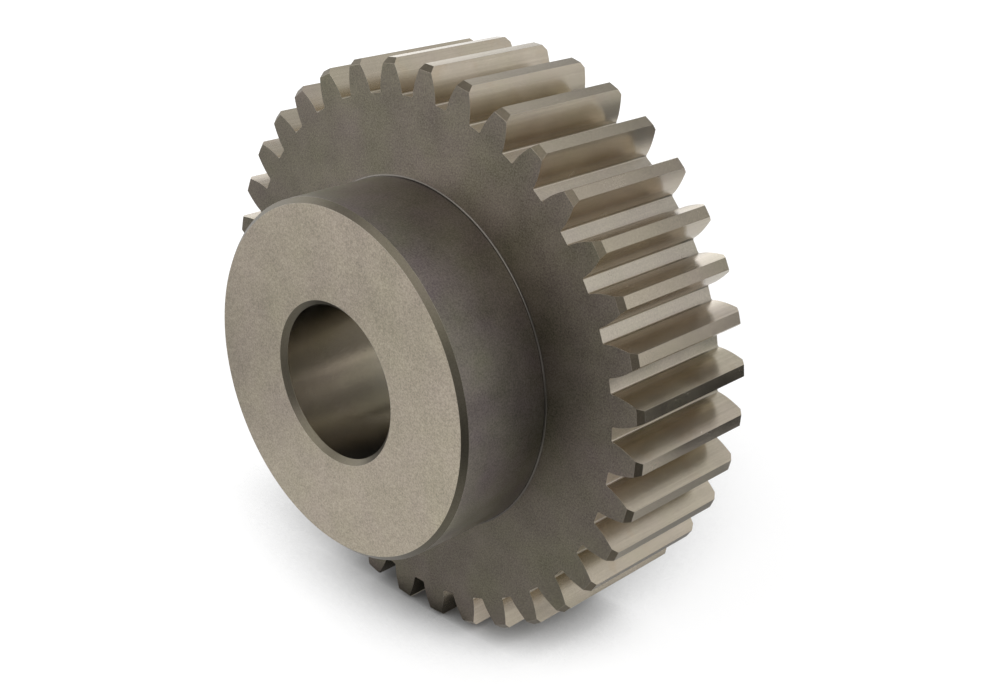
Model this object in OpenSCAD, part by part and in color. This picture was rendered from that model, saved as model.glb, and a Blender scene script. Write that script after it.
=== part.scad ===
// Spur gear wheel with a hub on one side and a plain round bore.
// The axis lies along Y, with the hub towards -Y. The origin is on the axis, midway along the teeth.
// The lowest point of the rim is the middle of a tooth space, so the wheel stands on two teeth.
// All lengths are in millimetres and all angles in degrees.

/* [Teeth] */
// Number of teeth
teeth = 36; // [28:1:60]
// Module, the pitch diameter divided by the number of teeth
tooth_module = 3; // [2.25:0.25:5]
// Pressure angle of the flanks
pressure_angle = 20; // [14.5:0.5:25]
// Height of a tooth above the pitch circle, in modules
addendum = 1; // [0.8:0.05:1.1]
// Depth of a tooth space below the pitch circle, in modules
dedendum = 1.157; // [1.1:0.001:1.35]
// Radius of the fillet between a flank and the bottom of its space
root_fillet = 0.4; // [0.2:0.1:0.9]
// Width of the toothed rim, along the axis
face_w = 30; // [12:1:60]
// Chamfer on both ends of the teeth, at their tips
tip_chamfer = 1; // [0.2:0.1:2.5]

/* [Hub] */
// Outer diameter of the hub
hub_d = 70; // [40:1:96]
// Length of the hub that stands out of the rim
hub_l = 20; // [5:1:60]
// Chamfer on the outer edge of the hub
hub_chamfer = 1; // [0.2:0.1:4]
// Radius of the fillet between the hub and the rim
foot_fillet = 0.4; // [0.2:0.1:3]

/* [Bore] */
// Diameter of the bore
bore_d = 30; // [8:1:60]
// Chamfer on both ends of the bore
bore_chamfer = 1; // [0.2:0.1:3]

/* [Hidden] */
$fn = 144;

// Straight lengths that stand in for one flank, one root fillet and the fillet at the hub
flank_steps = 8;
root_steps = 3;
foot_steps = 5;
// How far a cutting shape runs past the surface that it cuts
overrun = 1;

// Circles of the teeth, all about the axis
pitch_r = tooth_module * teeth / 2;
base_r = pitch_r * cos(pressure_angle);
tip_r = pitch_r + tooth_module * addendum;
root_r = pitch_r - tooth_module * dedendum;

// Faces of the blank, as heights above the middle of the rim
rim_top = face_w / 2;
hub_top = rim_top + hub_l;
hub_r = hub_d / 2;
bore_r = bore_d / 2;

function polar(r, angle) = [r * cos(angle), r * sin(angle)];

// Points of an arc, both ends included
function arc(centre, r, from, to, steps) =
    [for (i = [0 : steps]) centre + polar(r, from + (to - from) * i / steps)];

// The flanks are involutes. A point on one is given by its roll, the length of string
// unwound from the base circle divided by the radius of that circle.
function roll_at(r) = sqrt(max(0, r * r - base_r * base_r)) / base_r;
function unwound_angle(roll) = roll * 180 / PI - atan(roll);

// Half of the angle that a space takes up on the base circle
base_half = 90 / teeth - unwound_angle(tan(pressure_angle));

// The centre of a root fillet lies one fillet radius above the root circle and as far from
// the flank. Below the base circle the flank is a straight radial line.
fillet_r = root_r + root_fillet;
meets_involute = fillet_r > norm([base_r, root_fillet]);
fillet_roll = roll_at(fillet_r);
fillet_angle = meets_involute
    ? base_half + unwound_angle(fillet_roll) - root_fillet / base_r * 180 / PI
    : base_half - asin(root_fillet / fillet_r);
fillet_end = meets_involute ? fillet_angle + atan(fillet_roll) + 90 : base_half + 90;
first_roll = meets_involute ? fillet_roll - root_fillet / base_r : 0;
last_roll = roll_at(tip_r + overrun);

// One side of a tooth space that is centred on the X axis, from its bottom to past the tips
space_side = concat(
    [polar(root_r, 0)],
    arc(polar(fillet_r, fillet_angle), root_fillet, fillet_angle + 180, fillet_end, root_steps),
    [for (i = [meets_involute ? 1 : 0 : flank_steps])
        let (roll = first_roll + (last_roll - first_roll) * i / flank_steps)
        polar(base_r * norm([1, roll]), base_half + unwound_angle(roll))]
);

module tooth_space() {
    other_side = [for (i = [len(space_side) - 1 : -1 : 1]) [space_side[i][0], -space_side[i][1]]];
    linear_extrude(face_w + 2 * overrun, center = true)
        polygon(concat(space_side, other_side));
}

// Turned blank, with the hub on top
module blank() {
    rotate_extrude() polygon(concat(
        [
            [0, -rim_top],
            [tip_r - tip_chamfer, -rim_top],
            [tip_r, -rim_top + tip_chamfer],
            [tip_r, rim_top - tip_chamfer],
            [tip_r - tip_chamfer, rim_top]
        ],
        arc([hub_r + foot_fillet, rim_top + foot_fillet], foot_fillet, 270, 180, foot_steps),
        [
            [hub_r, hub_top - hub_chamfer],
            [hub_r - hub_chamfer, hub_top],
            [0, hub_top]
        ]
    ));
}

// Chamfer of the bore, cut downwards from the face at height 0
module countersink() {
    translate([0, 0, -bore_chamfer])
        cylinder(h = bore_chamfer + overrun, r1 = bore_r, r2 = bore_r + bore_chamfer + overrun);
}

module bore() {
    translate([0, 0, -rim_top - overrun])
        cylinder(h = face_w + hub_l + 2 * overrun, r = bore_r);
    translate([0, 0, hub_top]) countersink();
    translate([0, 0, -rim_top]) mirror([0, 0, 1]) countersink();
}

module gear_wheel() {
    color([0.58, 0.55, 0.5]) rotate([90, 0, 0]) difference() {
        blank();
        bore();
        for (i = [0 : teeth - 1])
            rotate(360 / teeth * i - 90) tooth_space();
    }
}

gear_wheel();
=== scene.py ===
"""Gear wheel of bare steel, standing on two of its teeth in a small white studio.

The wheel is one solid: a turned blank with a hub and a bore, and straight involute teeth cut
into its rim. Its axis is Y, with the hub towards -Y, and Z is up. Lengths are in millimetres
until a point is stored in a mesh, and angles are in radians.
"""

from __future__ import annotations

import logging
import math
from dataclasses import dataclass, field
from enum import Enum, IntEnum
from typing import ClassVar

import bmesh
import bpy
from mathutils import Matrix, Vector


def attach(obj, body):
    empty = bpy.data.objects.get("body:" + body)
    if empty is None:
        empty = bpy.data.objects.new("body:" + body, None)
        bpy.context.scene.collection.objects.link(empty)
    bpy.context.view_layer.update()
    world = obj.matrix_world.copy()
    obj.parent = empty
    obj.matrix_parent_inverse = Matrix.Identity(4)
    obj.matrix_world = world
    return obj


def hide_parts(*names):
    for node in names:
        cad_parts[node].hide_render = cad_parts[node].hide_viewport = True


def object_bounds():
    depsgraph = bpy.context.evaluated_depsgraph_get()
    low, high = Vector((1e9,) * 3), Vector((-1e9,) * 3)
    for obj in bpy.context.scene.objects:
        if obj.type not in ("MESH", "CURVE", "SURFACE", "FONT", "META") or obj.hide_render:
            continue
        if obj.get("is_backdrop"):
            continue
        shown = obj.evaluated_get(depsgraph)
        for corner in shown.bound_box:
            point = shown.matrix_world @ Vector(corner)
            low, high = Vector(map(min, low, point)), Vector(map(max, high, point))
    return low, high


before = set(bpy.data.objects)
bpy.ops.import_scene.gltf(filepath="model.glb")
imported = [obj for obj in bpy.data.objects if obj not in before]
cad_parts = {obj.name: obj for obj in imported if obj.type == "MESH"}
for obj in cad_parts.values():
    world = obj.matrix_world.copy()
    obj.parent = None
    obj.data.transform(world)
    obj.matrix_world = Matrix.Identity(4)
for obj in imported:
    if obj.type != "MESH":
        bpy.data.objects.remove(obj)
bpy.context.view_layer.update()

MM = 0.001
NODE = "gear_wheel"
BODY = "root"

log = logging.getLogger("gear_wheel")

Triple = tuple[float, float, float]
Socket = bpy.types.NodeSocket
Verts = list[bmesh.types.BMVert]


class End(IntEnum):
    """One end of the teeth, as its direction along the axis."""

    FRONT = -1
    BACK = 1


class Region(Enum):
    """Parts of the wheel's surface, each with a finish of its own."""

    HUB_FACE = 0
    WEB = 1
    HUB_SIDE = 2
    FOOT = 3
    CHAMFER = 4
    BORE = 5
    FLANK = 6
    ROOT = 7
    TIP = 8
    TIP_CHAMFER = 9
    EDGE = 10


class Lay(Enum):
    """Direction in which a tool left its fine lines on a surface."""

    AROUND = "around the axis, on a face"
    ALONG = "along the axis"
    RINGS = "around the axis, on a cylinder"


def linear(red: float, green: float, blue: float) -> tuple[float, float, float, float]:
    """Turn a display colour into the linear colour that a shader takes.

    Args:
        red: Red, from 0 to 255.
        green: Green, from 0 to 255.
        blue: Blue, from 0 to 255.

    Returns:
        The linear colour, with an alpha of 1.
    """

    def decode(value: float) -> float:
        """Undo the display curve of one channel."""
        v = value / 255
        return v / 12.92 if v <= 0.04045 else ((v + 0.055) / 1.055) ** 2.4

    return decode(red), decode(green), decode(blue), 1.0


@dataclass
class NodePen:
    """Adds shader nodes to one tree and joins them up.

    Attributes:
        tree: The node tree that is written to.
    """

    tree: bpy.types.NodeTree

    def add(
        self, kind: str, settings: dict[str, object] | None = None, **sockets: object
    ) -> bpy.types.Node:
        """Add a node.

        Args:
            kind: The node's type name.
            settings: Properties of the node itself.
            **sockets: Values or output sockets for its inputs, with _ for a space.

        Returns:
            The new node.
        """
        node = self.tree.nodes.new(kind)
        for name, value in (settings or {}).items():
            setattr(node, name, value)
        for name, value in sockets.items():
            self.feed(node.inputs[name.replace("_", " ")], value)
        return node

    def feed(self, socket: Socket, value: object) -> None:
        """Set an input to a value, or link it to an output socket.

        Args:
            socket: The input.
            value: The value or output socket.
        """
        if isinstance(value, Socket):
            self.tree.links.new(value, socket)
        else:
            socket.default_value = value

    def math(self, operation: str, *values: object) -> Socket:
        """Add a Math node.

        Args:
            operation: The operation, such as MULTIPLY.
            *values: Its inputs, as numbers or output sockets.

        Returns:
            The node's output.
        """
        node = self.add("ShaderNodeMath", {"operation": operation})
        for socket, value in zip(node.inputs, values):
            self.feed(socket, value)
        return node.outputs[0]

    def vector(self, x: object, y: object, z: object) -> Socket:
        """Join three numbers or sockets into a vector."""
        return self.add("ShaderNodeCombineXYZ", X=x, Y=y, Z=z).outputs[0]

    def length(self, vector: Socket) -> Socket:
        """Measure the length of a vector."""
        return self.add("ShaderNodeVectorMath", {"operation": "LENGTH"}, Vector=vector).outputs["Value"]

    def noise(self, at: Socket, scale: float, detail: float, rough: float = 0.55) -> Socket:
        """Add a noise texture whose values are centred on 0.

        Args:
            at: The point, in millimetres.
            scale: Lumps for each millimetre.
            detail: Number of octaves.
            rough: Strength of each octave against the one before.

        Returns:
            The centred value, from about -0.5 to 0.5.
        """
        node = self.add(
            "ShaderNodeTexNoise", Vector=at, Scale=scale, Detail=detail, Roughness=rough
        )
        return self.math("SUBTRACT", node.outputs["Fac"], 0.5)


def empty_tree(owner: bpy.types.Material | bpy.types.World) -> NodePen:
    """Clear the node tree of a material or of the world.

    Args:
        owner: The material or world.

    Returns:
        A pen that writes to the empty tree.
    """
    owner.use_nodes = True
    owner.node_tree.nodes.clear()
    return NodePen(owner.node_tree)


@dataclass(frozen=True)
class SteelFinish:
    """One machined finish of the steel.

    Attributes:
        name: Name of the material.
        colour: Display colour that the surface has on average.
        roughness: Average roughness.
        lay: Direction of the tool's lines.
        line_pitch: Average spacing of the lines, in millimetres.
        line_depth: Height of the lines, in millimetres.
        line_tone: How far the lines change the colour, as a share of it.
        cloud_size: Size of the large soft patches, in millimetres.
        cloud_tone: How far the patches change the colour, as a share of it.
        grain_size: Size of the fine grain, in millimetres.
        grain_tone: How far the grain changes the colour, as a share of it.
        drift: How far the colour wanders between olive and violet, as a share of it.
        anisotropy: How much the lines stretch a reflection across them, from 0 to 1.
        glance: How much light the steel sends back at a glancing angle, from 0 to 1.
        painted_shade_to_back: Painted shade: how much darker the surface gets from the middle to the
            back, as a share of it, and lighter towards the front.
        stain: How strongly brown stains show, from 0 to 1.
        line_length: Length of one tool line, in spacings.
        drift_size: Size of the patches in which the colour wanders, in millimetres.
        drift_tint: How far red, green and blue follow that drift.
        painted_shade_depth: Distance from the middle of the rim to its back, in millimetres.
        stain_size: Size of the stains, in millimetres.
        stain_edge: Noise at which a stain begins, and at which it is full.
        stain_tint: What a full stain leaves of red, green and blue.
        cloud_rough: How far the patches change the roughness.
        grain_rough: How far the grain changes the roughness, for a tone of 1.
        grain_relief: Height of the grain against that of the lines, for a tone of 1.
    """

    name: str
    colour: Triple
    roughness: float
    lay: Lay
    line_pitch: float = 0.12
    line_depth: float = 0.0015
    line_tone: float = 0.04
    cloud_size: float = 7.0
    cloud_tone: float = 0.14
    grain_size: float = 0.32
    grain_tone: float = 0.65
    drift: float = 0.03
    anisotropy: float = 0.0
    glance: float = 1.0
    painted_shade_to_back: float = 0.0
    stain: float = 0.0
    line_length: ClassVar[float] = 90.0
    drift_size: ClassVar[float] = 11.0
    drift_tint: ClassVar[Triple] = (1.2, -1.2, 4.0)
    painted_shade_depth: ClassVar[float] = 15.0
    stain_size: ClassVar[float] = 5.0
    stain_edge: ClassVar[tuple[float, float]] = (0.08, 0.25)
    stain_tint: ClassVar[Triple] = (0.86, 0.68, 0.45)
    cloud_rough: ClassVar[float] = 0.10
    grain_rough: ClassVar[float] = 0.2
    grain_relief: ClassVar[float] = 0.4

    def build(self) -> bpy.types.Material:
        """Make the material.

        Returns:
            The material, with its colour, roughness and bump from procedural nodes.
        """
        material = bpy.data.materials.new(self.name)
        pen = empty_tree(material)
        output = pen.add("ShaderNodeOutputMaterial")
        shader = pen.add("ShaderNodeBsdfPrincipled", Metallic=1.0)
        pen.feed(output.inputs["Surface"], shader.outputs[0])

        place = pen.add("ShaderNodeTexCoord").outputs["Object"]
        scaled = pen.add("ShaderNodeVectorMath", {"operation": "SCALE"}, Vector=place, Scale=1 / MM)
        point = scaled.outputs[0]
        lines = pen.noise(self.line_point(pen, point), 1.0, 2.0, 0.6)
        clouds = pen.noise(point, 1 / self.cloud_size, 3.0, 0.5)
        grain = pen.noise(point, 1 / self.grain_size, 2.0, 0.7)

        tone = self.tone(pen, point, lines, clouds, grain)
        pen.feed(shader.inputs["Base Color"], self.tinted(pen, point, tone))
        rough = pen.math("MULTIPLY_ADD", grain, self.grain_rough * self.grain_tone, self.roughness)
        rough = pen.math("MULTIPLY_ADD", clouds, self.cloud_rough, rough)
        pen.feed(shader.inputs["Roughness"], rough)
        shader.inputs["Specular Tint"].default_value = (self.glance, self.glance, self.glance, 1.0)
        if self.anisotropy:
            self.stretch_gloss(pen, shader)
        relief = pen.math("MULTIPLY_ADD", grain, self.grain_relief * self.grain_tone, lines)
        bump = pen.add("ShaderNodeBump", Height=relief, Strength=1.0, Distance=self.line_depth * MM)
        pen.feed(shader.inputs["Normal"], bump.outputs[0])
        return material

    def tone(self, pen: NodePen, point: Socket, lines: Socket, clouds: Socket, grain: Socket) -> Socket:
        """Work out how light the surface is at a point, where 1 is its average.

        Args:
            pen: Writer of the material's nodes.
            point: The point on the surface, in millimetres.
            lines: Noise of the tool's lines.
            clouds: Noise of the large soft patches.
            grain: Noise of the fine grain.

        Returns:
            The tone.
        """
        # Noise reaches half a unit each way, so it is doubled to give the share that is asked for.
        tone = pen.math("MULTIPLY_ADD", clouds, 2 * self.cloud_tone, 1.0)
        tone = pen.math("MULTIPLY_ADD", grain, 2 * self.grain_tone, tone)
        tone = pen.math("MULTIPLY_ADD", lines, 2 * self.line_tone, tone)
        # Painted shade: lighter at the front of the rim, darker at the back.
        if self.painted_shade_to_back:
            depth = pen.add("ShaderNodeSeparateXYZ", Vector=point).outputs["Y"]
            tone = pen.math("MULTIPLY_ADD", depth, -self.painted_shade_to_back / self.painted_shade_depth, tone)
        return tone

    def tinted(self, pen: NodePen, point: Socket, tone: Socket) -> Socket:
        """Work out the colour of the surface at a point.

        Args:
            pen: Writer of the material's nodes.
            point: The point on the surface, in millimetres.
            tone: How light the surface is there, where 1 is its average.

        Returns:
            The colour, with its drift and its stains.
        """
        drift = pen.noise(point, 1 / self.drift_size, 2.0)
        parts = [part * self.drift for part in self.drift_tint]
        tint = pen.vector(*(pen.math("MULTIPLY_ADD", drift, part, tone) for part in parts))
        base = pen.add("ShaderNodeVectorMath", {"operation": "MULTIPLY"})
        base.inputs[0].default_value = linear(*self.colour)[:3]
        pen.feed(base.inputs[1], tint)
        return self.stained(pen, point, base.outputs[0]) if self.stain else base.outputs[0]

    def stretch_gloss(self, pen: NodePen, shader: bpy.types.Node) -> None:
        """Stretch reflections across the tool's lines.

        Args:
            pen: Writer of the material's nodes.
            shader: The material's shader.
        """
        shader.inputs["Anisotropic"].default_value = self.anisotropy
        turn = 0.0 if self.lay is Lay.ALONG else 0.25
        shader.inputs["Anisotropic Rotation"].default_value = turn
        around = pen.add("ShaderNodeTangent", {"direction_type": "RADIAL", "axis": "Y"})
        pen.feed(shader.inputs["Tangent"], around.outputs[0])

    def line_point(self, pen: NodePen, point: Socket) -> Socket:
        """Stretch the point along the tool's lines, so that noise there makes lines.

        Args:
            pen: Writer of the material's nodes.
            point: The point on the surface, in millimetres.

        Returns:
            The stretched point, scaled so that one unit is one line.
        """
        long_pitch = self.line_length * self.line_pitch
        axes = pen.add("ShaderNodeSeparateXYZ", Vector=point).outputs
        if self.lay is Lay.ALONG:
            return pen.vector(
                pen.math("DIVIDE", axes["X"], self.line_pitch),
                pen.math("DIVIDE", axes["Y"], long_pitch),
                pen.math("DIVIDE", axes["Z"], self.line_pitch),
            )
        across = axes["Y"]
        if self.lay is Lay.AROUND:
            across = pen.length(pen.vector(axes["X"], 0.0, axes["Z"]))
        return pen.vector(
            pen.math("DIVIDE", axes["X"], long_pitch),
            pen.math("DIVIDE", across, self.line_pitch),
            pen.math("DIVIDE", axes["Z"], long_pitch),
        )

    def stained(self, pen: NodePen, point: Socket, colour: Socket) -> Socket:
        """Tint patches of the surface brown, as old cutting oil does.

        Args:
            pen: Writer of the material's nodes.
            point: The point on the surface, in millimetres.
            colour: The colour without stains.

        Returns:
            The colour with stains.
        """
        where = pen.noise(point, 1 / self.stain_size, 2.0)
        low, high = self.stain_edge
        mask = pen.add("ShaderNodeMapRange", Value=where, From_Min=low, From_Max=high, To_Max=self.stain)
        mix = pen.add("ShaderNodeMix", {"data_type": "RGBA", "blend_type": "MULTIPLY"})
        pen.feed(mix.inputs[0], mask.outputs[0])
        pen.feed(mix.inputs[6], colour)
        mix.inputs[7].default_value = (*self.stain_tint, 1.0)
        return mix.outputs[2]


FINISHES: dict[Region, SteelFinish] = {
    Region.HUB_FACE: SteelFinish("ground_hub_face", (161, 152, 137), 0.45, Lay.AROUND),
    Region.WEB: SteelFinish(
        "turned_web", (101, 95, 85), 0.48, Lay.AROUND,
        cloud_size=6.0, cloud_tone=0.3, grain_tone=0.8, drift=0.07
    ),
    Region.HUB_SIDE: SteelFinish(
        "turned_hub_side", (139, 132, 124), 0.42, Lay.RINGS, cloud_tone=0.25, drift=0.10
    ),
    Region.FOOT: SteelFinish("turned_foot", (84, 80, 75), 0.3, Lay.RINGS, grain_tone=0.2),
    Region.CHAMFER: SteelFinish("turned_chamfers", (89, 84, 73), 0.4, Lay.RINGS, grain_tone=0.3),
    Region.BORE: SteelFinish(
        "bored_wall", (181, 175, 163), 0.23, Lay.RINGS,
        line_depth=0.0004, cloud_tone=0.06, grain_tone=0.3, anisotropy=0.5, glance=0.2
    ),
    Region.FLANK: SteelFinish(
        "hobbed_flanks", (192, 182, 165), 0.25, Lay.ALONG,
        line_pitch=0.45, line_depth=0.0008, line_tone=0.17,
        grain_tone=0.12, anisotropy=0.85, stain=0.2
    ),
    # Roots and tips carry painted shade, darker towards the back of the rim.
    Region.ROOT: SteelFinish(
        "hobbed_roots", (184, 176, 162), 0.3, Lay.ALONG,
        line_pitch=0.45, line_depth=0.0008, line_tone=0.12,
        grain_tone=0.3, anisotropy=0.5, painted_shade_to_back=0.15
    ),
    Region.TIP: SteelFinish(
        "turned_tips", (163, 154, 138), 0.25, Lay.RINGS, line_depth=0.0007, grain_tone=0.3, painted_shade_to_back=0.26
    ),
    Region.TIP_CHAMFER: SteelFinish("tip_chamfers", (95, 88, 76), 0.45, Lay.RINGS, grain_tone=0.4),
    Region.EDGE: SteelFinish("broken_edges", (152, 145, 132), 0.3, Lay.RINGS, grain_tone=0.1),
}


@dataclass
class Teeth:
    """Form of the teeth, as the cutter leaves it.

    Attributes:
        count: Number of teeth.
        module: Pitch diameter divided by the number of teeth.
        pressure_angle: Pressure angle of the flanks, in degrees.
        addendum: Height above the pitch circle, in modules.
        dedendum: Depth below the pitch circle, in modules.
        root_fillet: Radius between a flank and the bottom of its space.
        width: Length of the teeth along the axis.
        chamfer: Chamfer on both ends of the tips.
        flank_steps: Strips that make up one flank, below the chamfer.
        fillet_steps: Strips that make up one root fillet.
        root_steps: Strips that make up the bottom of a space.
        tip_steps: Strips across the tip of a tooth.
        chamfer_steps: Strips from the inner to the outer edge of a chamfer.
    """

    count: int = 36
    module: float = 3.0
    pressure_angle: float = 20.0
    addendum: float = 1.0
    dedendum: float = 1.157
    root_fillet: float = 0.4
    width: float = 30.0
    chamfer: float = 1.0
    flank_steps: int = 12
    fillet_steps: int = 6
    root_steps: int = 2
    tip_steps: int = 4
    chamfer_steps: int = 2

    def __post_init__(self) -> None:
        """Work out the circles of the teeth, and the step from tooth to tooth."""
        self.pitch_r = self.module * self.count / 2
        self.base_r = self.pitch_r * math.cos(math.radians(self.pressure_angle))
        self.tip_r = self.pitch_r + self.module * self.addendum
        self.root_r = self.pitch_r - self.module * self.dedendum
        self.step = math.tau / self.count
        unwound = self.unwound(math.tan(math.radians(self.pressure_angle)))
        self.base_half = self.step / 4 - unwound

    @staticmethod
    def unwound(roll: float) -> float:
        """Angle by which an involute has turned away from its start at this roll."""
        return roll - math.atan(roll)

    def roll_at(self, radius: float) -> float:
        """Roll of the point of a flank at this radius."""
        return math.sqrt(max(0.0, radius**2 - self.base_r**2)) / self.base_r

    def space_half(self, radius: float) -> float:
        """Half of the angle that a tooth space takes up at this radius."""
        return self.base_half + self.unwound(self.roll_at(radius))

    def side(self) -> list[tuple[float, float]]:
        """Trace one side of a tooth space that is centred on angle 0.

        Returns:
            Points as radius and angle, from the foot of the fillet to the tip of the tooth.
        """
        centre_r = self.root_r + self.root_fillet
        centre_roll = self.roll_at(centre_r)
        centre = self.base_half + self.unwound(centre_roll) - self.root_fillet / self.base_r
        start = centre + math.pi
        end = centre + math.atan(centre_roll) + math.pi / 2
        points = []
        for i in range(self.fillet_steps + 1):
            turn = start + (end - start) * i / self.fillet_steps
            x = centre_r * math.cos(centre) + self.root_fillet * math.cos(turn)
            y = centre_r * math.sin(centre) + self.root_fillet * math.sin(turn)
            points.append((math.hypot(x, y), math.atan2(y, x)))
        first = centre_roll - self.root_fillet / self.base_r
        last = self.roll_at(self.tip_r - self.chamfer)
        for i in range(1, self.flank_steps + 1):
            roll = first + (last - first) * i / self.flank_steps
            points.append((self.base_r * math.hypot(1, roll), self.base_half + self.unwound(roll)))
        for i in range(1, self.chamfer_steps + 1):
            radius = self.tip_r - self.chamfer * (1 - i / self.chamfer_steps)
            points.append((radius, self.space_half(radius)))
        return points


@dataclass
class Blank:
    """Sizes of the turned blank behind the teeth.

    Attributes:
        hub_r: Radius of the hub.
        hub_length: Length of the hub that stands out of the rim.
        hub_chamfer: Chamfer on the outer edge of the hub.
        foot_fillet: Radius between the hub and the rim.
        foot_steps: Strips that make up that fillet.
        bore_r: Radius of the bore.
        bore_chamfer: Chamfer on both ends of the bore.
        tooth_base_steps: Strips of the end faces behind one tooth.
    """

    hub_r: float = 35.0
    hub_length: float = 20.0
    hub_chamfer: float = 1.0
    foot_fillet: float = 0.4
    foot_steps: int = 6
    bore_r: float = 15.0
    bore_chamfer: float = 1.0
    tooth_base_steps: int = 6

    def profile(self, width: float) -> list[tuple[float, float, Region]]:
        """Trace the blank from the front of the rim, over the hub and through the bore.

        Args:
            width: Width of the rim, whose middle is at 0 on the axis.

        Returns:
            Points as radius and place along the axis, each with the region that ends there.
        """
        front, back = -width / 2, width / 2
        end = front - self.hub_length
        points = []
        for i in range(self.foot_steps + 1):
            turn = math.pi / 2 * i / self.foot_steps
            radius = self.hub_r + self.foot_fillet * (1 - math.sin(turn))
            points.append((radius, front - self.foot_fillet * (1 - math.cos(turn)), Region.FOOT))
        points[0] = (*points[0][:2], Region.WEB)
        points += [
            (self.hub_r, end + self.hub_chamfer, Region.HUB_SIDE),
            (self.hub_r - self.hub_chamfer, end, Region.CHAMFER),
            (self.bore_r + self.bore_chamfer, end, Region.HUB_FACE),
            (self.bore_r, end + self.bore_chamfer, Region.CHAMFER),
            (self.bore_r, back - self.bore_chamfer, Region.BORE),
            (self.bore_r + self.bore_chamfer, back, Region.CHAMFER),
        ]
        return points


@dataclass
class GearWheel:
    """The whole wheel, as one closed mesh with a finish for each region.

    Attributes:
        teeth: Form of the teeth.
        blank: Sizes of the blank.
        edge_break: Width of the tiny bevel that deburring leaves on each sharp edge.
        edge_steps: Strips that make up that bevel.
        sharp_angle: Least angle between two faces at a sharp edge, in degrees.
        mesh: The mesh that is being built.
    """

    teeth: Teeth = field(default_factory=Teeth)
    blank: Blank = field(default_factory=Blank)
    edge_break: float = 0.12
    edge_steps: int = 2
    sharp_angle: float = 30.0
    mesh: bmesh.types.BMesh = field(default_factory=bmesh.new)

    def build(self) -> bpy.types.Object:
        """Build the wheel's mesh and dress it.

        Returns:
            The wheel, which stands for the plain solid of the frame.
        """
        fronts = [self.end_outline(k, End.FRONT) for k in range(self.teeth.count)]
        backs = [self.end_outline(k, End.BACK) for k in range(self.teeth.count)]
        self.cut_spaces(fronts, backs)
        front_ring, front_tips = self.close_teeth(fronts, End.FRONT)
        back_ring, back_tips = self.close_teeth(backs, End.BACK)
        self.join_tips(front_tips, back_tips)
        self.turn_blank(front_ring, back_ring)
        bmesh.ops.recalc_face_normals(self.mesh, faces=self.mesh.faces)
        data = bpy.data.meshes.new("wheel_surface")
        self.mesh.to_mesh(data)
        self.mesh.free()
        wheel = bpy.data.objects.new("wheel", data)
        bpy.context.scene.collection.objects.link(wheel)
        for region in Region:
            data.materials.append(FINISHES[region].build())
        self.break_edges(wheel)
        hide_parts(NODE)
        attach(wheel, BODY)
        return wheel

    def vertex(self, radius: float, angle: float, along: float) -> bmesh.types.BMVert:
        """Add a vertex.

        Args:
            radius: Its distance from the axis.
            angle: Its angle around the axis, from the lowest point.
            along: Its place along the axis.

        Returns:
            The new vertex.
        """
        turn = angle - math.pi / 2
        at = Vector((radius * math.cos(turn), along, radius * math.sin(turn)))
        return self.mesh.verts.new(at * MM)

    def face(self, corners: Verts, region: Region) -> None:
        """Add a smooth face with the finish of a region.

        Args:
            corners: Its corners, in order around it.
            region: The region that it belongs to.
        """
        made = self.mesh.faces.new(corners)
        made.smooth = True
        made.material_index = region.value

    def end_of(self, radius: float, end: End) -> float:
        """Place along the axis where a tooth ends at this radius, at the front or the back."""
        rise = max(0.0, radius - (self.teeth.tip_r - self.teeth.chamfer))
        return end * (self.teeth.width / 2 - rise)

    def end_outline(self, number: int, end: End) -> Verts:
        """Add the outline of one tooth space at one end of the teeth.

        Args:
            number: Number of the space, from 0 at the lowest point.
            end: The end of the teeth.

        Returns:
            The vertices, from the tip of one tooth down its flank and up to the next tip.
        """
        teeth = self.teeth
        middle = number * teeth.step
        rising = teeth.side()
        half = rising[0][1]
        bottom = [
            (teeth.root_r, half * (2 * i / teeth.root_steps - 1))
            for i in range(1, teeth.root_steps)
        ]
        points = [(r, -a) for r, a in reversed(rising)] + bottom + rising
        return [self.vertex(r, middle + a, self.end_of(r, end)) for r, a in points]

    def cut_spaces(self, fronts: list[Verts], backs: list[Verts]) -> None:
        """Join the front and back outlines into flanks, fillets and roots.

        Args:
            fronts: The outlines of all spaces at the front.
            backs: The outlines of all spaces at the back.
        """
        rim = self.teeth.flank_steps + self.teeth.chamfer_steps
        last = len(fronts[0]) - 2
        for front, back in zip(fronts, backs):
            for i in range(last + 1):
                region = Region.ROOT if rim <= i <= last - rim else Region.FLANK
                self.face([front[i], front[i + 1], back[i + 1], back[i]], region)

    def close_teeth(self, outlines: list[Verts], end: End) -> tuple[Verts, list[Verts]]:
        """Add the chamfers and the end faces of all teeth at one end.

        Args:
            outlines: The outlines of all spaces at this end.
            end: The end of the teeth.

        Returns:
            A closed ring of vertices on the root circle, in step with the turned blank, and
            the outer edge of each tooth's chamfer.
        """
        teeth = self.teeth
        steps = teeth.chamfer_steps
        foot = len(teeth.side()) - 1
        ring = []
        tips = []
        for k, outline in enumerate(outlines):
            following = outlines[(k + 1) % teeth.count]
            rows = self.chamfer_rows(k, outline, following, end)
            for low, high in zip(rows, rows[1:]):
                self.strip(low, high, Region.TIP_CHAMFER)
            half = teeth.side()[0][1]
            base = self.between(k, teeth.root_r, half, self.blank.tooth_base_steps, end)
            up = outline[len(outline) - 1 - foot : len(outline) - steps]
            down = following[steps : foot + 1]
            self.face([*up, *rows[0][1:-1], *down, *reversed(base)], Region.WEB)
            ring += [*outline[foot : len(outline) - foot], *base]
            tips.append(rows[-1])
        return ring, tips

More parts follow.
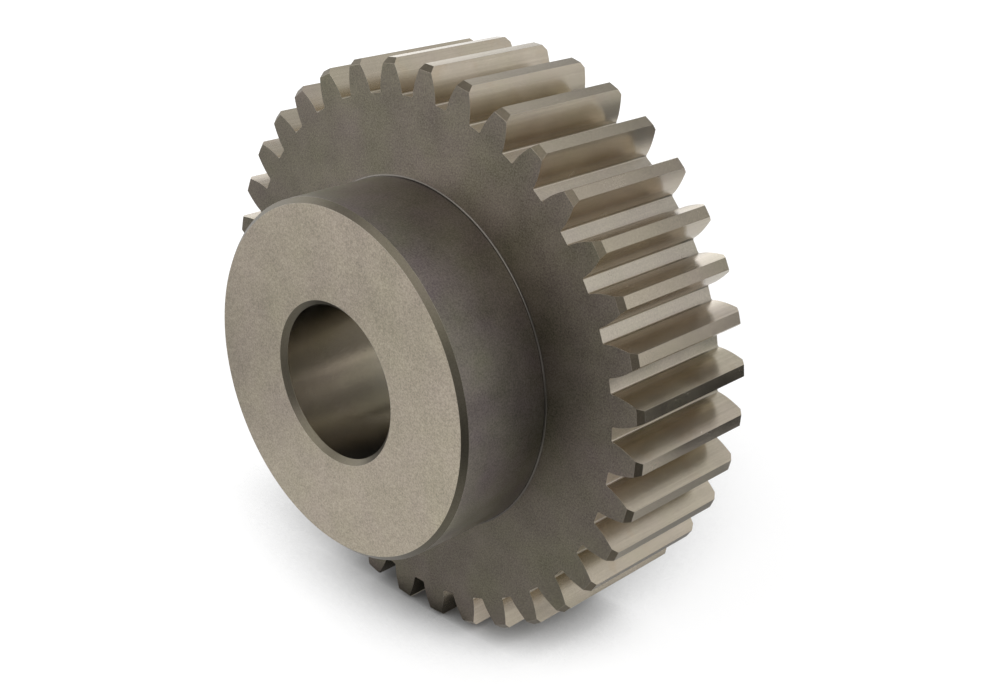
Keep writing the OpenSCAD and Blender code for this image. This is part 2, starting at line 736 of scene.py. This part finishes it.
    def chamfer_rows(self, number: int, before: Verts, after: Verts, end: End) -> list[Verts]:
        """Add the arcs that make up the chamfer of one tooth.

        Args:
            number: Number of the space before the tooth.
            before: Outline of that space.
            after: Outline of the space after the tooth.
            end: The end of the teeth.

        Returns:
            The arcs across the tooth, from the inner to the outer edge of the chamfer.
        """
        teeth = self.teeth
        steps = teeth.chamfer_steps
        rows = []
        for j in range(steps + 1):
            radius = teeth.tip_r - teeth.chamfer * (1 - j / steps)
            inner = self.between(number, radius, teeth.space_half(radius), teeth.tip_steps, end)
            rows.append([before[len(before) - 1 - steps + j], *inner, after[steps - j]])
        return rows

    def between(self, number: int, radius: float, half: float, steps: int, end: End) -> Verts:
        """Add the inner vertices of an arc across the tooth that follows a space.

        Args:
            number: Number of the space.
            radius: Radius of the arc.
            half: Half of the angle of the space at that radius.
            steps: Number of steps in the arc.
            end: The end of the teeth.

        Returns:
            The vertices, without the two ends of the arc.
        """
        start = number * self.teeth.step + half
        span = self.teeth.step - 2 * half
        along = self.end_of(radius, end)
        return [self.vertex(radius, start + span * i / steps, along) for i in range(1, steps)]

    def strip(self, low: Verts, high: Verts, region: Region) -> None:
        """Join two arcs across a tooth with a strip of faces."""
        for i in range(len(low) - 1):
            self.face([low[i], low[i + 1], high[i + 1], high[i]], region)

    def join_tips(self, front_tips: list[Verts], back_tips: list[Verts]) -> None:
        """Add the tip of each tooth between its front and back chamfers."""
        for front, back in zip(front_tips, back_tips):
            self.strip(front, back, Region.TIP)

    def turn_blank(self, front_ring: Verts, back_ring: Verts) -> None:
        """Sweep the blank's profile around the axis, from the front ring to the back ring.

        Args:
            front_ring: Ring of vertices on the root circle at the front.
            back_ring: The same at the back.
        """
        turns = [math.atan2(v.co.z, v.co.x) + math.pi / 2 for v in front_ring]
        previous = front_ring
        for radius, along, region in self.blank.profile(self.teeth.width):
            ring = [self.vertex(radius, turn, along) for turn in turns]
            self.band(previous, ring, region)
            previous = ring
        self.band(previous, back_ring, Region.WEB)

    def band(self, outer: Verts, inner: Verts, region: Region) -> None:
        """Join two rings of the same number of vertices with a band of faces."""
        self.strip([*outer, outer[0]], [*inner, inner[0]], region)

    def break_edges(self, wheel: bpy.types.Object) -> None:
        """Take the sharpness off the edges, as deburring does.

        Args:
            wheel: The wheel.
        """
        bevel = wheel.modifiers.new("broken edges", "BEVEL")
        bevel.width = self.edge_break * MM
        bevel.segments = self.edge_steps
        bevel.limit_method = "ANGLE"
        bevel.angle_limit = math.radians(self.sharp_angle)
        bevel.harden_normals = True
        bevel.material = Region.EDGE.value
        bevel.use_clamp_overlap = True


@dataclass(frozen=True)
class SoftBox:
    """A soft lamp that faces the wheel.

    Attributes:
        name: Name of the lamp.
        azimuth: Direction from the wheel, in degrees from +X towards +Y.
        elevation: Height above the horizon, in degrees.
        distance: Distance from the wheel, in metres.
        size: Width and height, in metres.
        radiance: Brightness of its face, where 1 is white.
    """

    name: str
    azimuth: float
    elevation: float
    distance: float
    size: tuple[float, float]
    radiance: float


@dataclass(frozen=True)
class PaintedReflectionCard:
    """A dark or grey sheet that lies on the floor and shows only in the steel, as a painted reflection.

    Attributes:
        name: Name of the card.
        low: Corner with the lowest X and Y, in millimetres.
        high: The opposite corner.
        shade: How much light it sends back, from 0 to 1.
    """

    name: str
    low: tuple[float, float]
    high: tuple[float, float]
    shade: float


@dataclass
class Floor:
    """White floor, which darkens softly where the wheel keeps light away. To the camera most of that
    darkening is a painted shadow: a glow that weakens where the wheel closes the floor in.

    Attributes:
        size: Width, in metres.
        shade: How much light it sends back, from 0 to 1.
        steel_glow: Glow that is added where it shows in the steel.
        seen_shade: How much of the lamps' light the camera sees on it, from 0 to 1.
        seen_glow: Glow that the camera sees where the floor is fully open.
        near: Distance from the wheel's centre up to which it is nearly white, in metres.
        far: Distance from which it is fully white, in metres.
        near_white: Most that the glow reaches up to the near distance.
        reach: How far away things still take light from it, in metres.
        touch_reach: The same for the dark line where a tooth touches it.
        depth: Power that deepens the painted shadow in front of the wheel.
        back_rays: Rays that measure how open the floor is towards the back.
        front_rays: The same towards the front, where the power shows every fault.
        touch_rays: The same straight above.
    """

    size: float = 6.0
    shade: float = 0.68
    steel_glow: float = 0.3
    seen_shade: float = 0.21
    seen_glow: float = 3.1
    near: float = 0.16
    far: float = 0.5
    near_white: float = 0.86
    reach: float = 0.3
    touch_reach: float = 0.009
    depth: float = 5.5
    back_rays: int = 6
    front_rays: int = 22
    touch_rays: int = 4

    def build(self) -> None:
        """Lay the floor under the wheel."""
        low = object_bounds()[0][2]
        half = self.size / 2
        data = bpy.data.meshes.new("floor")
        corners = [(-half, -half, low), (half, -half, low), (half, half, low), (-half, half, low)]
        data.from_pydata(corners, [], [(0, 1, 2, 3)])
        floor = bpy.data.objects.new("floor", data)
        bpy.context.scene.collection.objects.link(floor)
        data.materials.append(self.material())
        floor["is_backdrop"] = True

    def material(self) -> bpy.types.Material:
        """Make matt white that keeps shadows and is white to the camera and in the steel, with a painted
        shadow for the camera.

        Returns:
            The floor's material.
        """
        material = bpy.data.materials.new("white_floor")
        pen = empty_tree(material)
        output = pen.add("ShaderNodeOutputMaterial")
        path = pen.add("ShaderNodeLightPath").outputs
        in_steel = pen.math("MAXIMUM", path["Is Glossy Ray"], path["Is Transmission Ray"])
        glow = pen.math("MULTIPLY", in_steel, self.steel_glow)
        mix = pen.add("ShaderNodeMixShader", Fac=path["Is Camera Ray"])
        pen.feed(mix.inputs[1], self.matt_and_glow(pen, self.shade, glow))
        pen.feed(mix.inputs[2], self.matt_and_glow(pen, self.seen_shade, self.painted_shadow_glow(pen)))
        pen.feed(output.inputs["Surface"], mix.outputs[0])
        return material

    def painted_shadow_glow(self, pen: NodePen) -> Socket:
        """Work out the glow that the camera sees, from how open the floor is at a point, so that it
        paints the wheel's shadow.

        Args:
            pen: Writer of the material's nodes.

        Returns:
            The strength of the glow.
        """
        place = pen.add("ShaderNodeTexCoord").outputs["Object"]
        most = pen.add(
            "ShaderNodeMapRange", Value=pen.length(place),
            From_Min=self.near, From_Max=self.far, To_Min=self.near_white, To_Max=1.0
        )
        back = self.openness(pen, Vector((-1.0, 1.0, 0.5)), self.reach, self.back_rays)
        front = self.openness(pen, Vector((1.0, -1.0, 0.5)), self.reach, self.front_rays)
        above = self.openness(pen, Vector((0.0, 0.0, 1.0)), self.touch_reach, self.touch_rays)
        # Painted shadow: the glow weakens where the floor is closed in towards the front, the back and
        # straight above.
        share = pen.math("MULTIPLY", pen.math("POWER", front, self.depth), back)
        share = pen.math("MULTIPLY", share, above)
        return pen.math("MINIMUM", pen.math("MULTIPLY", share, self.seen_glow), most.outputs[0])

    @staticmethod
    def openness(pen: NodePen, towards: Vector, reach: float, rays: int) -> Socket:
        """Measure how open a point of the floor is to one side.

        Args:
            pen: Writer of the material's nodes.
            towards: Middle of the side, as a direction.
            reach: How far away things still count, in metres.
            rays: Number of rays that are sent out to measure it.

        Returns:
            The open share, from 0 to 1.
        """
        side = pen.vector(*towards.normalized())
        free = pen.add("ShaderNodeAmbientOcclusion", {"samples": rays}, Distance=reach, Normal=side)
        return free.outputs["AO"]

    @staticmethod
    def matt_and_glow(pen: NodePen, shade: float, glow: Socket) -> Socket:
        """Join a matt white shader and a glow.

        Args:
            pen: Writer of the material's nodes.
            shade: How much light the matt part sends back.
            glow: Strength of the glow.

        Returns:
            The joined shader.
        """
        matt = pen.add("ShaderNodeBsdfDiffuse", Color=(shade, shade, shade, 1.0))
        light = pen.add("ShaderNodeEmission", Strength=glow)
        both = pen.add("ShaderNodeAddShader")
        pen.feed(both.inputs[0], matt.outputs[0])
        pen.feed(both.inputs[1], light.outputs[0])
        return both.outputs[0]


@dataclass
class Studio:
    """White floor, soft lamps, cards that paint reflections into the steel, and the camera.

    Attributes:
        floor: The floor.
        lamps: The soft lamps.
        cards: The dark and grey cards, painted reflections that show only in the steel.
        card_lift: Height of the cards above the floor, in millimetres.
        card_roughness: Roughness of the cards.
        world_level: Brightness of the soft light from all around, where 1 is white.
        world_lean: How much brighter it gets towards X, Y and Z.
        camera_at: Where the camera stands, in millimetres from the wheel's centre.
        camera_azimuth: Direction of view, in degrees from +Y towards -X.
        camera_tilt: How far the camera looks down, in degrees.
        camera_lens: Focal length, in millimetres.
        camera_film: Width of the film, in millimetres.
    """

    floor: Floor = field(default_factory=Floor)
    lamps: tuple[SoftBox, ...] = (
        SoftBox("key, low at the front left", 222.0, 17.0, 1.0, (1.3, 0.72), 2.12),
        SoftBox("back left", 136.0, 14.0, 1.0, (0.62, 0.36), 0.9),
        SoftBox("left", 180.0, 20.0, 1.0, (0.6, 0.7), 1.0),
        SoftBox("above the camera", 284.0, 46.0, 1.0, (1.4, 0.8), 2.1),
    )
    cards: tuple[PaintedReflectionCard, ...] = (
        # Painted reflection of the wheel's shadow on the floor.
        PaintedReflectionCard("painted shadow behind, on the right", (92.0, 64.0), (340.0, 270.0), 0.03),
        PaintedReflectionCard("in front, on the right", (70.0, -300.0), (300.0, -30.0), 0.04),
        PaintedReflectionCard("beside, on the right", (12.0, 6.0), (105.0, 64.0), 0.55),
        # Painted reflection of the shade on the floor below the wheel.
        PaintedReflectionCard("under the wheel", (-110.0, -19.0), (12.0, 60.0), 0.1),
        PaintedReflectionCard("in front, on the left", (-460.0, -360.0), (-88.0, 0.0), 0.37),
    )
    card_lift: float = 0.2
    card_roughness: float = 0.9
    world_level: float = 0.62
    world_lean: Triple = (0.12, 0.33, -0.25)
    camera_at: Triple = (194.95, -187.94, 109.23)
    camera_azimuth: float = 44.742
    camera_tilt: float = 22.598
    camera_lens: float = 52.374
    camera_film: float = 36.0

    def build(self) -> None:
        """Set up everything that isn't part of the wheel."""
        self.floor.build()
        self.light_world()
        for lamp in self.lamps:
            self.add_lamp(lamp)
        for card in self.cards:
            self.add_card(card)
        self.add_camera()
        bpy.context.scene.view_settings.view_transform = "Standard"

    def light_world(self) -> None:
        """Fill the studio with soft light, brightest from behind the wheel."""
        world = bpy.data.worlds.new("studio")
        bpy.context.scene.world = world
        pen = empty_tree(world)
        output = pen.add("ShaderNodeOutputWorld")
        place = pen.add("ShaderNodeTexCoord").outputs["Generated"]
        lean = pen.add("ShaderNodeVectorMath", {"operation": "DOT_PRODUCT"})
        pen.feed(lean.inputs[0], place)
        lean.inputs[1].default_value = self.world_lean
        level = pen.math("ADD", lean.outputs["Value"], self.world_level)
        camera = pen.add("ShaderNodeLightPath").outputs["Is Camera Ray"]
        level = pen.math("MAXIMUM", level, camera)
        light = pen.add("ShaderNodeBackground", Color=(1, 1, 1, 1), Strength=level)
        pen.feed(output.inputs["Surface"], light.outputs[0])

    def add_lamp(self, lamp: SoftBox) -> None:
        """Hang a soft lamp, facing the wheel.

        Args:
            lamp: The lamp's place, size and brightness.
        """
        data = bpy.data.lights.new(lamp.name, "AREA")
        data.shape = "RECTANGLE"
        data.size, data.size_y = lamp.size
        data.energy = lamp.radiance * math.pi * lamp.size[0] * lamp.size[1]
        turn, rise = math.radians(lamp.azimuth), math.radians(lamp.elevation)
        away = Vector((math.cos(turn) * math.cos(rise), math.sin(turn) * math.cos(rise), math.sin(rise)))
        box = bpy.data.objects.new(lamp.name, data)
        box.location = away * lamp.distance
        box.rotation_euler = (-away).to_track_quat("-Z", "Y").to_euler()
        bpy.context.scene.collection.objects.link(box)

    def add_card(self, card: PaintedReflectionCard) -> None:
        """Lay a card on the floor, hidden from all but reflections.

        Args:
            card: The card's place and shade.
        """
        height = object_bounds()[0][2] + self.card_lift * MM
        (x0, y0), (x1, y1) = card.low, card.high
        corners = [(x0 * MM, y0 * MM), (x1 * MM, y0 * MM), (x1 * MM, y1 * MM), (x0 * MM, y1 * MM)]
        data = bpy.data.meshes.new(card.name)
        data.from_pydata([(x, y, height) for x, y in corners], [], [(0, 1, 2, 3)])
        data.materials.append(self.card_material(card))
        sheet = bpy.data.objects.new(card.name, data)
        sheet.visible_camera = False
        sheet.visible_diffuse = False
        sheet.visible_shadow = False
        bpy.context.scene.collection.objects.link(sheet)
        sheet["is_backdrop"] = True

    def card_material(self, card: PaintedReflectionCard) -> bpy.types.Material:
        """Make the matt grey of a card.

        Args:
            card: The card.

        Returns:
            The card's material.
        """
        material = bpy.data.materials.new(card.name)
        material.use_nodes = True
        shader = material.node_tree.nodes["Principled BSDF"]
        shader.inputs["Base Color"].default_value = (card.shade, card.shade, card.shade, 1.0)
        shader.inputs["Roughness"].default_value = self.card_roughness
        return material

    def add_camera(self) -> None:
        """Stand the camera where the photograph was taken from."""
        data = bpy.data.cameras.new("camera")
        data.sensor_width = self.camera_film
        data.lens = self.camera_lens
        data.clip_start = 0.01
        camera = bpy.data.objects.new("camera", data)
        camera.location = Vector(self.camera_at) * MM
        tilt = math.radians(90 - self.camera_tilt)
        camera.rotation_euler = (tilt, 0.0, math.radians(self.camera_azimuth))
        bpy.context.scene.collection.objects.link(camera)
        bpy.context.scene.camera = camera


def main() -> None:
    """Build the wheel and the studio in order, and report each piece."""
    logging.basicConfig(level=logging.INFO, format="%(name)s: %(message)s")
    wheel = GearWheel().build()
    log.info("built %s with %d faces", wheel.name, len(wheel.data.polygons))
    Studio().build()
    log.info("set up the studio")


if __name__ == "__main__":
    main()
